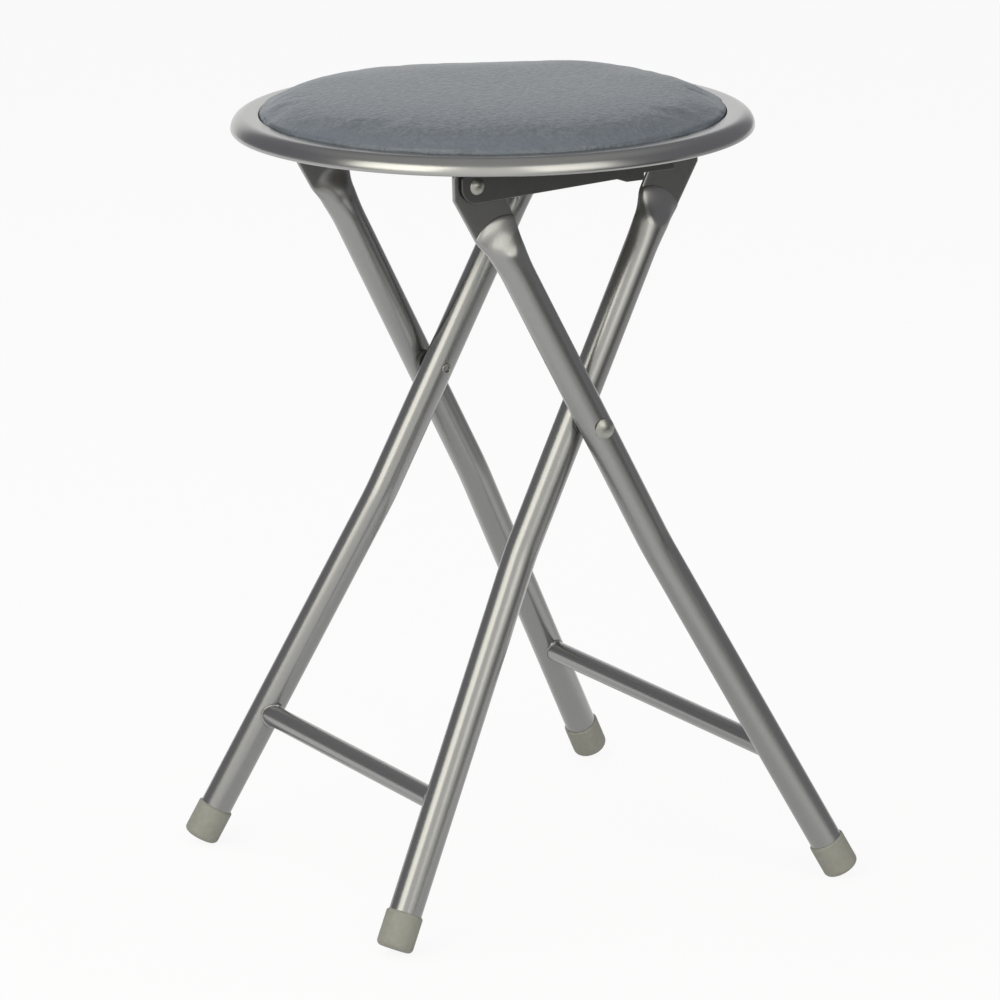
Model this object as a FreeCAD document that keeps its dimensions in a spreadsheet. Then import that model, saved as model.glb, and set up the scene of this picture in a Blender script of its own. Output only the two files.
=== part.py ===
import FreeCAD, Part
import math
import os
import re

from FreeCAD import Placement, Rotation, Vector

# A folding stool: two pairs of tube legs cross at rivets, and a round padded seat lies on their tops.
# The outer frame's legs carry the seat on two rivets at -X. The inner frame's cross rod, at +X, holds
# the seat up in two catches. +Z is up, the crossing rivets lie along Y at X = 0, and the feet stand
# on Z = 0.

doc = FreeCAD.newDocument("folding_stool")
sheet = doc.addObject("Spreadsheet::Sheet", "Sizes")

DIMENSIONS = [
    # frames as a whole
    ("cross_height", 283.5, "floor to the crossing rivets"),
    ("frame_lean", 27.53, "angle of each frame from upright, degrees"),
    ("pivot_reach", 163.7, "crossing rivets to the seat rivets, along the leg"),
    ("bend_drop", 83.4, "crossing rivets to the bend in the leg, along the leg"),
    ("bar_drop", 230.4, "crossing rivets to the crossbar, along the leg"),
    ("leg_spacing", 22.2, "outer leg's axis to inner leg's axis at the bends"),
    ("outer_draw", 2.0, "inward lean of an outer leg above its bend, degrees"),
    ("inner_draw", 2.65, "inward lean of an inner leg above its bend, degrees"),
    ("foot_splay", 8.9, "outward lean of every leg below its bend, degrees"),
    # leg tube and its flattened top
    ("tube_d", 19.0, "leg tube outside diameter"),
    ("tube_wall", 1.2, "leg tube wall"),
    ("bend_radius", 150.0, "radius of the bend"),
    ("plate_w", 29.8, "width of the flattened top"),
    ("plate_t", 2.6, "thickness of the flattened top"),
    ("flatten_length", 46.0, "length over which the tube goes flat"),
    ("flatten_start", 62.0, "seat rivets to the round tube, along the leg"),
    ("shoulder_radius", 16.0, "radius of the domed shoulder's rim on the flat top"),
    ("shoulder_drop", 20.5, "seat rivets to the shoulder's crest"),
    ("plate_side", 12.8, "seat rivet to the plate's upright side"),
    ("plate_top", 11.0, "seat rivet to the plate's level top"),
    # crossbars and rod
    ("bar_d", 12.7, "crossbar diameter"),
    ("bar_wall", 1.0, "crossbar wall"),
    ("rod_d", 8.0, "cross rod diameter"),
    ("rod_neck_d", 6.4, "cross rod's riveted neck"),
    ("rod_head_d", 10.0, "cross rod's riveted head"),
    ("rod_head_t", 2.0, "height of that head"),
    # rivets and washers
    ("rivet_d", 6.0, "leg rivet shank"),
    ("rivet_head_d", 12.0, "leg rivet head"),
    ("rivet_head_t", 2.6, "leg rivet head height"),
    ("rivet_tail_d", 8.2, "clinched end of a leg rivet"),
    ("rivet_tail_t", 1.8, "height of the clinched end"),
    ("rivet_bore_d", 4.2, "hollow in the clinched end"),
    ("rivet_bore_depth", 6.0, "depth of that hollow"),
    ("seat_rivet_d", 5.0, "seat rivet shank"),
    ("seat_rivet_head_d", 8.6, "seat rivet head"),
    ("seat_rivet_head_t", 2.2, "seat rivet head height"),
    ("seat_rivet_tail_t", 1.4, "height of its clinched end"),
    ("spacer_d", 14.0, "spacer between the legs"),
    ("washer_d", 15.0, "washer between rail and leg"),
    ("washer_t", 0.8, "its thickness"),
    # foot caps
    ("cap_d", 21.3, "foot cap diameter"),
    ("cap_length", 21.5, "foot cap length"),
    ("cap_floor", 3.2, "rubber under the tube's end"),
    ("cap_edge", 2.0, "rounding of the cap's end"),
    ("sole_cut", 0.5, "flat worn into the cap where it stands"),
    # seat
    ("seat_d", 300.0, "rim outside diameter"),
    ("seat_back", 6.5, "crossing rivets to the seat's middle, towards the seat rivets"),
    ("seat_lift", 14.8, "seat rivets to the board's underside"),
    ("rim_w", 16.5, "rim bead width"),
    ("rim_drop", 11.5, "rim bead height"),
    ("rim_crest", 6.0, "board's underside to the rim's crest"),
    ("rim_wall", 1.2, "rim sheet"),
    ("ledge_w", 5.0, "rim ledge under the board"),
    ("tab_length", 24.0, "screw tab, from the ledge inwards"),
    ("tab_w", 18.0, "screw tab width"),
    ("board_t", 6.0, "plywood board"),
    ("cover_t", 1.0, "PVC cover"),
    ("cover_gap", 1.5, "gap between cover and rim"),
    ("cover_flap", 7.0, "cover turned under the board"),
    ("cushion_rise", 18.3, "cushion's crown over the top of its upright side"),
    ("cushion_side", 1.75, "board's underside to the top of that side"),
    ("cushion_edge", 12.0, "radius where side turns into crown"),
    # rails, catches, screws
    ("rail_t", 1.8, "rail sheet"),
    ("rail_end", 9.5, "radius of the rail's end about its rivet"),
    ("rail_deep", 109.2, "seat rivet to the end of the rail's deep part"),
    ("rail_length", 129.4, "seat rivet to the rail's far end"),
    ("rail_rise", 3.6, "rise of the rail's lower edge along its deep part"),
    ("rail_lip", 2.2, "depth of the lip that ends the deep part"),
    ("rail_lip_w", 11.5, "length of that lip"),
    ("rail_shallow", 4.0, "seat rivet down to the shallow part's lower edge"),
    ("rail_flange", 17.0, "width of the flange under the board"),
    ("rail_flange_start", 20.7, "seat rivet to the flange"),
    ("catch_t", 3.0, "catch sheet"),
    ("catch_inset", 8.0, "middle of an inner leg's flat top to the catch's inner face"),
    ("catch_flange", 12.0, "width of a catch's flange"),
    ("catch_in", 9.5, "catch in front of the rod"),
    ("catch_out", 10.5, "catch behind the rod"),
    ("catch_lip", 20.0, "how far the catch wraps below the rod's middle, degrees"),
    ("screw_d", 3.4, "screw shank"),
    ("screw_head_d", 7.0, "screw head"),
    ("screw_head_t", 2.0, "screw head height"),
    ("screw_bite", 4.5, "screw length in the board"),
    ("screw_room", 0.3, "radial room of a screw in its hole"),
    # clearances
    ("rail_clear", 3.0, "rail's outer corner to the rim's ledge"),
    ("spacer_gap", 0.4, "gap on each side of a spacer"),
    ("play", 0.05, "radial play of a pin in its hole"),
    ("gap", 0.3, "gap between faces that move past each other"),
]

for row, (alias, value, note) in enumerate(DIMENSIONS, start=1):
    sheet.set("A%d" % row, alias)
    sheet.set("B%d" % row, str(value))
    sheet.set("C%d" % row, note)
    sheet.setAlias("B%d" % row, alias)
doc.recompute()

# What the sizes give for the frames: the rails just clear the rim's ledge, the outer legs stand
# inside the rails, the inner legs inside the outer ones, and the catches inside the inner ones
PLACES = [
    ("rail_outside", "middle plane to a rail's outer face",
     "sqrt((seat_d / 2 - rim_w - ledge_w - rail_clear) ^ 2"
     " - (pivot_reach * sin(frame_lean) + rail_end - seat_back) ^ 2)"),
    ("outer_half", "middle plane to an outer leg's axis at its bend",
     "rail_outside - rail_t - 2 * gap - washer_t - plate_t / 2 + (pivot_reach + bend_drop) * tan(outer_draw)"),
    ("inner_half", "middle plane to an inner leg's axis at its bend", "outer_half - leg_spacing"),
    ("catch_half", "middle plane to a catch's inner face",
     "inner_half - (pivot_reach + bend_drop) * tan(inner_draw) - catch_inset"),
]

HOLDERS = {alias: "Sizes" for alias, value, note in DIMENSIONS}
HOLDERS.update((name, "Places") for name, note, expression in PLACES)
NAMES = re.compile(r"\b(%s)\b" % "|".join(HOLDERS))
SUB_PARTS = []
X_AXIS, Y_AXIS, Z_AXIS = Vector(1, 0, 0), Vector(0, 1, 0), Vector(0, 0, 1)


def size(alias):
    return float(sheet.get(alias))


def bound(expression):
    """The expression with each name read from its holder."""
    return NAMES.sub(lambda found: HOLDERS[found[0]] + "." + found[0], expression)


places = doc.addObject("App::VarSet", "Places")
for name, note, expression in PLACES:
    places.addProperty("App::PropertyFloat", name, "Places", note)
    places.setExpression(name, bound(expression))
doc.recompute()


def make(kind, name, **sizes):
    """A Part object whose properties are bound to expressions of the sheet's sizes."""
    obj = doc.addObject("Part::" + kind, name)
    for prop, expression in sizes.items():
        obj.setExpression(prop, bound(expression))
    return obj


def put(obj, x=None, y=None, z=None, turn=None):
    """Turns an object and binds its place."""
    obj.Placement = Placement(Vector(), turn or Rotation())
    for axis, expression in (("x", x), ("y", y), ("z", z)):
        if expression:
            obj.setExpression("Placement.Base." + axis, bound(expression))
    return obj


def keep(obj, label):
    """Marks an object as a sub-part of the stool."""
    obj.Label = label
    SUB_PARTS.append(obj)
    return obj


def cut(name, base, *tools):
    tool = tools[0] if len(tools) == 1 else fuse(name + "_tools", *tools)
    obj = doc.addObject("Part::Cut", name)
    obj.Base, obj.Tool = base, tool
    return obj


def fuse(name, *shapes):
    obj = doc.addObject("Part::MultiFuse", name)
    obj.Shapes = list(shapes)
    obj.Refine = True
    return obj


def group(name, pieces):
    obj = doc.addObject("Part::Compound", name)
    obj.Links = pieces
    return obj


def feature(name, shape, place):
    obj = doc.addObject("Part::Feature", name)
    obj.Shape = shape
    obj.Placement = place
    return obj


def origin_plane(body, role):
    return [item for item in body.Origin.OriginFeatures if item.Role == role][0]


def profile(body, role, name, edges):
    """A sketch of these edges on one of the body's own origin planes."""
    sketch = body.newObject("Sketcher::SketchObject", name)
    sketch.AttachmentSupport = (origin_plane(body, role), [""])
    sketch.MapMode = "FlatFace"
    for edge in edges:
        sketch.addGeometry(edge, False)
    return sketch


def arc(centre, radius, start, end):
    """An arc, counter-clockwise between two angles in degrees."""
    circle = Part.Circle(Vector(*centre, 0), Z_AXIS, radius)
    return Part.ArcOfCircle(circle, math.radians(start), math.radians(end))


def line(a, b):
    return Part.LineSegment(Vector(*a, 0), Vector(*b, 0))


def polar(centre, radius, angle):
    turn = math.radians(angle)
    return (centre[0] + radius * math.cos(turn), centre[1] + radius * math.sin(turn))


def span(sign, inner, width):
    """Lowest and highest place across the stool of a piece on one side, from its inner face."""
    near, far = "(%s)" % inner, "(%s + %s)" % (inner, width)
    return ("-" + far, "-" + near) if sign < 0 else (near, far)


# Places that follow from the sizes, and the shares that shape the pieces

LEAN = math.radians(size("frame_lean"))
TUBE_R = size("tube_d") / 2
CROSS = Vector(0, 0, size("cross_height"))
PIVOT_Z = "(cross_height + pivot_reach * cos(frame_lean))"
PIVOT_X = "(pivot_reach * sin(frame_lean))"
SEAT_Z = "(cross_height + pivot_reach * cos(frame_lean) + seat_lift)"
SEAT_X = "-seat_back"
NEAR_OUT = Rotation(X_AXIS, 90)
FAR_OUT = Rotation(X_AXIS, -90)
SIDES = (("near", -1, NEAR_OUT), ("far", 1, FAR_OUT))
OVERRUN = size("seat_d")

FLATTEN_STEPS = 6
SHOULDER_SINK_SHARE = 0.12
SHOULDER_DEPTH_SHARE = 0.98
PLATE_OVERLAP_SHARE = 0.72
PLATE_SIDE_SHARE = 0.5
PLATE_FAR_SHARE = 0.8
RAIL_CHEEK_SHARE = 0.55
LIP_SLOPE_SHARE = 0.55
RAIL_SCREW_SHARES = (0.16, 0.86)
CATCH_SCREW_SHARES = (0.2, 0.8)
TABS = 4


# Leg tubes

def leg_path(half, draw):
    """Heights along the leg from the crossing, and distances from the middle plane, of its four points."""
    upper = size("pivot_reach")
    start = upper - size("flatten_start")
    bend = -size("bend_drop")
    rise = math.tan(math.radians(draw))
    splay = math.tan(math.radians(size("foot_splay")))
    foot = -foot_reach(splay)
    return {
        "pivot": (half - (upper - bend) * rise, upper),
        "start": (half - (start - bend) * rise, start),
        "bend": (half, bend),
        "foot": (half + (bend - foot) * splay, foot),
    }


def foot_reach(splay):
    """Crossing to the middle of the foot cap's end, along the leg, with the cap's flat on the floor."""
    upright = math.cos(LEAN) / math.hypot(1, splay)
    slant = math.sqrt(1 - upright ** 2)
    edge = size("cap_edge")
    end_height = (size("cap_d") / 2 - edge) * slant + edge - edge * upright - size("sole_cut")
    return (size("cross_height") - end_height) / math.cos(LEAN)


def at(point):
    return Vector(0, -point[0], point[1])


def towards(start, end):
    return (end - start).normalize()


def rod_along(points, tilt, radius):
    """A round bar along three points, with a bend at the middle one."""
    first, corner, last = points
    bend = size("bend_radius")
    before, after = towards(corner, first), towards(corner, last)
    turn = math.pi - before.getAngle(after)
    back = bend * math.tan(turn / 2)
    start, end = corner + before * back, corner + after * back
    middle = (before + after).normalize() * (bend / math.cos(turn / 2) - bend)
    wire = Part.Wire([
        Part.LineSegment(first, start).toShape(),
        Part.Arc(start, corner + middle, end).toShape(),
        Part.LineSegment(end, last).toShape(),
    ])
    return wire.makePipeShell([half_ovals(first, tilt, radius, radius, radius)], True, False)


def half_ovals(centre, tilt, wide, outer, inner):
    """A closed section: an oval half towards the outside and another towards the middle plane."""
    edges = []
    for depth, start in ((outer, math.pi), (inner, 0)):
        if wide == depth:
            piece = Part.ArcOfCircle(Part.Circle(Vector(), Z_AXIS, wide), start, start + math.pi)
        else:
            piece = Part.ArcOfEllipse(Part.Ellipse(Vector(), wide, depth), start, start + math.pi)
        edges.append(piece.toShape())
    section = Part.Wire(edges)
    section.Placement = Placement(centre, Rotation(X_AXIS, -tilt))
    return section


def flat_top(path, draw):
    """The tube going flat below the seat rivets, with its pressed shoulder on the outer face."""
    half_plate = size("plate_t") / 2
    length, upper = size("flatten_length"), size("pivot_reach")
    rise = math.tan(math.radians(draw))
    sections = []
    for step in range(FLATTEN_STEPS + 1):
        share = step / FLATTEN_STEPS
        ease = share * share * (3 - 2 * share)
        height = path["start"][1] + length * share
        place = path["start"][0] - length * share * rise
        wide = TUBE_R + (size("plate_w") / 2 - TUBE_R) * ease
        inner = TUBE_R + (half_plate - TUBE_R) * ease
        outer = TUBE_R * (1 - SHOULDER_SINK_SHARE * ease)
        sections.append(half_ovals(Vector(0, -place, height), draw * (1 - share), wide, outer, inner))
    swell = Part.makeLoft(sections, True, False)
    crest = size("shoulder_radius")
    low = upper - size("shoulder_drop") - crest
    face = path["pivot"][0] + half_plate
    reach = size("plate_w")
    above = Part.makeBox(2 * reach, reach, OVERRUN, Vector(-reach, -face - reach, low))
    return swell.cut(above.cut(shoulder(Vector(0, -face, low), crest)))


def shoulder(middle, radius):
    """The domed end of the tube's round: half an oval turned about a line across the stool."""
    depth = TUBE_R * SHOULDER_DEPTH_SHARE
    quarter = Part.ArcOfEllipse(Part.Ellipse(Vector(), radius, depth), 0, math.pi / 2).toShape()
    top, rim = Y_AXIS * depth, X_AXIS * radius
    side = Part.Face(Part.Wire([quarter, Part.makeLine(top, Vector()), Part.makeLine(Vector(), rim)]))
    dome = side.revolve(Vector(), Y_AXIS, 360)
    dome.Placement = Placement(middle, Rotation(X_AXIS, 180))
    return dome


def plate(path, out):
    """The flattened end, square to the seat rivets, with its upright side towards the stool's end."""
    half, upper = size("plate_w") / 2, size("pivot_reach")
    side, top = size("plate_side"), size("plate_top")
    cos, sin = math.cos(LEAN), math.sin(LEAN)

    def turned(sideways, upward):
        return (out * (sideways * cos - upward * sin), upper + upward * cos + sideways * sin)

    corner = (side - half * cos) / sin
    low = path["start"][1] + size("flatten_length") * PLATE_OVERLAP_SHARE
    points = [
        (out * half, low),
        (out * half, upper + corner),
        turned(side, top * PLATE_SIDE_SHARE),
        turned(side - top * (1 - PLATE_SIDE_SHARE), top),
        turned(-side * PLATE_FAR_SHARE, top),
        (-out * half, upper),
        (-out * half, low),
    ]
    face = -path["pivot"][0] - size("plate_t") / 2
    outline = Part.makePolygon([Vector(u, face, v) for u, v in points + points[:1]])
    return Part.Face(outline).extrude(Y_AXIS * size("plate_t"))


def leg(half, draw, out, top_pin):
    """One leg on the near side: its path, its tube as a full round, and the hollow, drilled leg."""
    path = leg_path(half, draw)
    cap_floor = size("cap_floor") * towards(at(path["foot"]), at(path["bend"]))
    points = [at(path["start"]), at(path["bend"]), at(path["foot"]) + cap_floor]
    round_tube = rod_along(points, draw, TUBE_R)
    envelope = round_tube.fuse([flat_top(path, draw), plate(path, out)]).removeSplitter()
    tools = [rod_along(points, draw, TUBE_R - size("tube_wall"))]
    for height, diameter in ((0, size("rivet_d")), (size("pivot_reach"), top_pin)):
        start = Vector(0, -OVERRUN / 2, height)
        tools.append(Part.makeCylinder(diameter / 2 + size("play"), OVERRUN / 2, start, Y_AXIS))
    return path, round_tube, envelope.cut(tools)


# Each frame: its leg's distance from the middle plane, its lean inwards, its side and its upper pin
FRAMES = (
    ("outer", places.outer_half, size("outer_draw"), -1, size("seat_rivet_d")),
    ("inner", places.inner_half, size("inner_draw"), 1, size("rod_neck_d")),
)
paths, turns = {}, {}
for frame, half, draw, out, top_pin in FRAMES:
    turn = Placement(CROSS, Rotation(Y_AXIS, out * size("frame_lean")))
    path, round_tube, tube = leg(half, draw, out, top_pin)
    paths[frame], turns[frame] = path, turn
    for side, sign, outward in SIDES:
        shape = tube if sign < 0 else tube.mirror(Vector(), Y_AXIS)
        keep(feature(frame + "_leg_tube_" + side, shape, turn), "%s_leg_%s" % (frame, side))
    # the crossbar, butted to the inner faces of its two legs
    reach = half + (size("bar_drop") - size("bend_drop")) * math.tan(math.radians(size("foot_splay")))
    start = Vector(0, -reach, -size("bar_drop"))
    solid = Part.makeCylinder(size("bar_d") / 2, 2 * reach, start, Y_AXIS)
    bore = Part.makeCylinder(size("bar_d") / 2 - size("bar_wall"), 2 * reach, start, Y_AXIS)
    legs = [round_tube, round_tube.mirror(Vector(), Y_AXIS)]
    pieces = solid.cut(bore).cut(legs).Solids
    middle = min(pieces, key=lambda piece: abs(piece.CenterOfMass.y))
    keep(feature(frame + "_bar", middle, turn), frame + "_crossbar")

# Foot caps: a cup of rubber pushed over each tube's end, cut flat where it stands

floor = make("Box", "floor", Length="2 * seat_d", Width="2 * seat_d", Height="seat_d")
put(floor, "-seat_d", "-seat_d", "-seat_d")
for frame, path in paths.items():
    for side, sign, outward in SIDES:
        name = "%s_foot_%s" % (frame, side)
        foot = Vector(0, sign * path["foot"][0], path["foot"][1])
        bend = Vector(0, sign * path["bend"][0], path["bend"][1])
        place = turns[frame].multiply(Placement(foot, Rotation(Z_AXIS, towards(foot, bend))))
        cup = make("Cylinder", name + "_cup", Radius="cap_d / 2", Height="cap_length")
        doc.recompute()
        rounded = doc.addObject("Part::Fillet", name + "_rounded")
        rounded.Base = cup
        rounded.Edges = [(index, size("cap_edge"), size("cap_edge"))
                         for index, edge in enumerate(cup.Shape.Edges, start=1)
                         if edge.Closed and edge.CenterOfMass.z < size("play")]
        bore = put(make("Cylinder", name + "_bore", Radius="tube_d / 2 + play", Height="cap_length"),
                   z="cap_floor")
        cap = cut(name + "_cap", rounded, bore)
        cap.Placement = place
        keep(cut(name, cap, floor), name)

# Round pieces on one axis: rivets, rod, washers and screws. Each is stacked along its own Z, outwards

def bar(name, diameter, start, length):
    return put(make("Cylinder", name, Radius="(%s) / 2" % diameter, Height=length), z=start)


def dome(name, diameter, height, start):
    """A domed head that stands on the level of its start."""
    radius = "((%s) ^ 2 / 4 + (%s) ^ 2) / (2 * (%s))" % (diameter, height, height)
    ball = make("Sphere", name, Radius=radius, Angle1="asin(1 - (%s) / (%s))" % (height, radius))
    return put(ball, z="(%s) + (%s) - (%s)" % (start, height, radius))


def distance(half, draw, height):
    """A leg axis's distance from the middle plane, at a height along the leg, as an expression."""
    return "(%s - (%s + bend_drop) * tan(%s))" % (half, height, draw)


OUTER_CROSS = distance("outer_half", "outer_draw", "0")
INNER_CROSS = distance("inner_half", "inner_draw", "0")
OUTER_PLATE = distance("outer_half", "outer_draw", "pivot_reach")
INNER_PLATE = distance("inner_half", "inner_draw", "pivot_reach")
RAIL_FACE = "(%s + plate_t / 2 + washer_t + 2 * gap)" % OUTER_PLATE

rod_half = "(%s - plate_t / 2 - play)" % INNER_PLATE
rod_pieces = [bar("rod_middle", "rod_d", "-" + rod_half, "2 * " + rod_half)]
for side, sign, outward in SIDES:
    neck = bar("rod_neck_" + side, "rod_neck_d", rod_half + " - play", "plate_t + 3 * play")
    head = dome("rod_head_" + side, "rod_head_d", "rod_head_t", rod_half + " + plate_t + 2 * play")
    end = fuse("rod_end_" + side, neck, head)
    end.Placement = Placement(Vector(), Rotation(X_AXIS, 0 if sign > 0 else 180))
    rod_pieces.append(end)
rod = fuse("rod", *rod_pieces)
keep(put(rod, PIVOT_X, None, PIVOT_Z, FAR_OUT), "cross_rod")

for side, sign, outward in SIDES:
    # leg rivet: domed head on the outer leg, hollow clinched end inside the inner leg
    inside = "(%s - tube_d / 2 - gap)" % INNER_CROSS
    outside = "(%s + tube_d / 2 + gap)" % OUTER_CROSS
    name = "leg_rivet_" + side
    shank = bar(name + "_shank", "rivet_d", inside, outside + " - " + inside)
    head = dome(name + "_head", "rivet_head_d", "rivet_head_t", outside)
    tail = bar(name + "_tail", "rivet_tail_d", inside + " - rivet_tail_t", "rivet_tail_t")
    hollow = bar(name + "_bore", "rivet_bore_d", inside + " - rivet_tail_t", "rivet_bore_depth")
    rivet = cut(name, fuse(name + "_solid", shank, head, tail), hollow)
    keep(put(rivet, None, None, "cross_height", outward), name)

    # spacer between the legs
    name = "leg_spacer_" + side
    inside = "(%s + tube_d / 2 + spacer_gap)" % INNER_CROSS
    thick = "%s - tube_d / 2 - spacer_gap - %s" % (OUTER_CROSS, inside)
    ring = bar(name + "_ring", "spacer_d", inside, thick)
    hollow = bar(name + "_bore", "rivet_d + 2 * play", inside, thick)
    keep(put(cut(name, ring, hollow), None, None, "cross_height", outward), name)

    # seat rivet through the rail and the outer leg's flat top, and the washer between them
    name = "seat_rivet_" + side
    inside = "(%s - plate_t / 2 - gap)" % OUTER_PLATE
    outside = "(%s + rail_t + gap)" % RAIL_FACE
    shank = bar(name + "_shank", "seat_rivet_d", inside, outside + " - " + inside)
    head = dome(name + "_head", "seat_rivet_head_d", "seat_rivet_head_t", outside)
    tail = bar(name + "_tail", "seat_rivet_head_d", inside + " - seat_rivet_tail_t", "seat_rivet_tail_t")
    rivet = fuse(name, shank, head, tail)
    keep(put(rivet, "-" + PIVOT_X, None, PIVOT_Z, outward), name)

    name = "seat_washer_" + side
    ring = bar(name + "_ring", "washer_d", RAIL_FACE + " - gap - washer_t", "washer_t")
    hollow = bar(name + "_bore", "seat_rivet_d + 2 * play", RAIL_FACE + " - gap - washer_t", "washer_t")
    keep(put(cut(name, ring, hollow), "-" + PIVOT_X, None, PIVOT_Z, outward), name)

# Seat rim: sheet pressed to half an oval bead, with a ledge and four screw tabs under the board

seat_r = size("seat_d") / 2
cover_r = seat_r - size("rim_w") - size("cover_gap")


def turned_body(name, edges):
    """A body of revolution about the seat's own axis, on the level of the board's underside."""
    body = doc.addObject("PartDesign::Body", name)
    sketch = profile(body, "XZ_Plane", name + "_profile", edges)
    turned = body.newObject("PartDesign::Revolution", name + "_turned")
    turned.Profile = sketch
    turned.ReferenceAxis = (sketch, ["V_Axis"])
    turned.Angle = 360
    return put(body, SEAT_X, None, SEAT_Z)


def oval(centre, across, up, start, end):
    curve = Part.Ellipse(Vector(*centre, 0), across, up)
    return Part.ArcOfEllipse(curve, math.radians(start), math.radians(end))


def rim_edges():
    across, up, wall = size("rim_w") / 2, size("rim_drop") / 2, size("rim_wall")
    middle = (seat_r - across, size("rim_crest") - up)
    left, inner_left = seat_r - 2 * across, seat_r - 2 * across + wall
    top, low = -size("cover_t"), -size("cover_t") - wall
    ledge = left - size("ledge_w")
    foot, inner_foot = (middle[0], middle[1] - up), (middle[0], middle[1] - up + wall)
    return [
        line((left, top), (left, middle[1])),
        oval(middle, across, up, 0, 180),
        oval(middle, across, up, -90, 0),
        line(foot, inner_foot),
        oval(middle, across - wall, up - wall, -90, 0),
        oval(middle, across - wall, up - wall, 0, 180),
        line((inner_left, middle[1]), (inner_left, low)),
        line((inner_left, low), (ledge, low)),
        line((ledge, low), (ledge, top)),
        line((ledge, top), (left, top)),
    ]


bead = turned_body("rim_bead", rim_edges())
TAB_START = "(seat_d / 2 - rim_w - ledge_w - tab_length)"
TAB_SCREW = "(%s + screw_head_d)" % TAB_START


def around(name, count, build):
    """Copies of one piece, evenly spaced about the seat's axis."""
    copies = []
    for index in range(count):
        piece = group("%s_%d" % (name, index), [build("%s_%d" % (name, index))])
        copies.append(put(piece, SEAT_X, None, SEAT_Z, Rotation(Z_AXIS, 360 * index / count)))
    return copies


def tab(name):
    strip = make("Box", name + "_strip", Length="tab_length + ledge_w / 2", Width="tab_w", Height="rim_wall")
    return put(strip, TAB_START, "-tab_w / 2", "-cover_t - rim_wall")


def screw(name, sheet_top, sheet_t):
    """A pan-head screw driven upwards; its head lies under a sheet of this thickness."""
    under = "(%s - %s)" % (sheet_top, sheet_t)
    shank = bar(name + "_shank", "screw_d", "-screw_bite", "screw_bite - " + under)
    head = dome(name + "_head", "screw_head_d", "screw_head_t", "-" + under)
    piece = fuse(name, shank, head)
    piece.Placement = Placement(Vector(), Rotation(X_AXIS, 180))
    return piece


def screw_hole(name):
    pin = bar(name + "_pin", "screw_d + 2 * screw_room", "-board_t", "board_t + screw_bite + play")
    return group(name + "_hole", [pin])


def at_screw(piece, x, y):
    return put(piece, x, y, SEAT_Z, piece.Placement.Rotation)


tabs = around("rim_tab", TABS, tab)
rim_screws, rim_holes = [], []
for index in range(TABS):
    angle = 360 * index / TABS
    spot = ("-seat_back + %s * cos(%g)" % (TAB_SCREW, angle), "%s * sin(%g)" % (TAB_SCREW, angle))
    rim_screws.append(at_screw(screw("rim_screw_%d" % index, "-cover_t", "rim_wall"), *spot))
    rim_holes.append(at_screw(screw_hole("rim_screw_%d" % index), *spot))
keep(cut("rim", fuse("rim_sheet", bead, *tabs), *rim_holes), "seat_rim")

# Rails: angle sheet under the board; each turns on the seat rivet and its deep part ends in a lip

def rail_outline():
    """The rail's side view, measured from the seat rivet."""
    end, deep, top = size("rail_end"), size("rail_deep"), size("seat_lift")
    lip, lip_w = size("rail_lip"), size("rail_lip_w")
    rise, shallow = size("rail_rise") - end, -size("rail_shallow")
    cheek = end * RAIL_CHEEK_SHARE
    shoulder = (deep - lip_w * (1 + LIP_SLOPE_SHARE), rise)
    return [
        arc((0, 0), end, 180, 270),
        line((0, -end), shoulder),
        line(shoulder, (deep - lip_w, rise - lip)),
        line((deep - lip_w, rise - lip), (deep, rise - lip)),
        line((deep, rise - lip), (deep, shallow)),
        line((deep, shallow), (size("rail_length"), shallow)),
        line((size("rail_length"), shallow), (size("rail_length"), top)),
        line((size("rail_length"), top), (end, top)),
        line((end, top), (-end, cheek)),
        line((-end, cheek), (-end, 0)),
    ]


def pad(name, outline, thick, x, y):
    """A plate with this side view, standing along the stool from the level of the seat rivets."""
    body = doc.addObject("PartDesign::Body", name)
    sketch = profile(body, "XZ_Plane", name + "_outline", outline)
    plate = body.newObject("PartDesign::Pad", name + "_pad")
    plate.Profile = sketch
    plate.setExpression("Length", bound(thick))
    return put(body, x, y, PIVOT_Z)


rail_screws, board_holes = [], list(rim_holes)
for side, sign, outward in SIDES:
    high = span(sign, RAIL_FACE, "rail_t")[1]
    web = pad("rail_web_" + side, rail_outline(), "rail_t", "-" + PIVOT_X, high)
    low = span(sign, RAIL_FACE + " - rail_flange", "rail_flange + rail_t / 2")[0]
    flange = make("Box", "rail_flange_" + side, Length="rail_deep - rail_flange_start",
                  Width="rail_flange + rail_t / 2", Height="rail_t")
    put(flange, "rail_flange_start - " + PIVOT_X, low, SEAT_Z + " - rail_t")
    pin = bar("rail_hole_" + side, "seat_rivet_d + 2 * play", "0", "seat_d")
    holes = [put(pin, "-" + PIVOT_X, None, PIVOT_Z, outward)]
    for index, share in enumerate(RAIL_SCREW_SHARES):
        name = "rail_screw_%s_%d" % (side, index)
        spot = ("rail_flange_start - %s + %g * (rail_deep - rail_flange_start)" % (PIVOT_X, share),
                "%d * (%s - rail_flange / 2)" % (sign, RAIL_FACE))
        rail_screws.append(at_screw(screw(name, "0", "rail_t"), *spot))
        holes.append(at_screw(screw_hole(name), *spot))
        board_holes.append(at_screw(screw_hole(name + "_board"), *spot))
    rail = cut("rail_" + side, fuse("rail_sheet_" + side, web, flange), *holes)
    keep(rail, "seat_rail_" + side)

# Catches: bent plates under the board; each wraps the cross rod from above and behind

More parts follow.
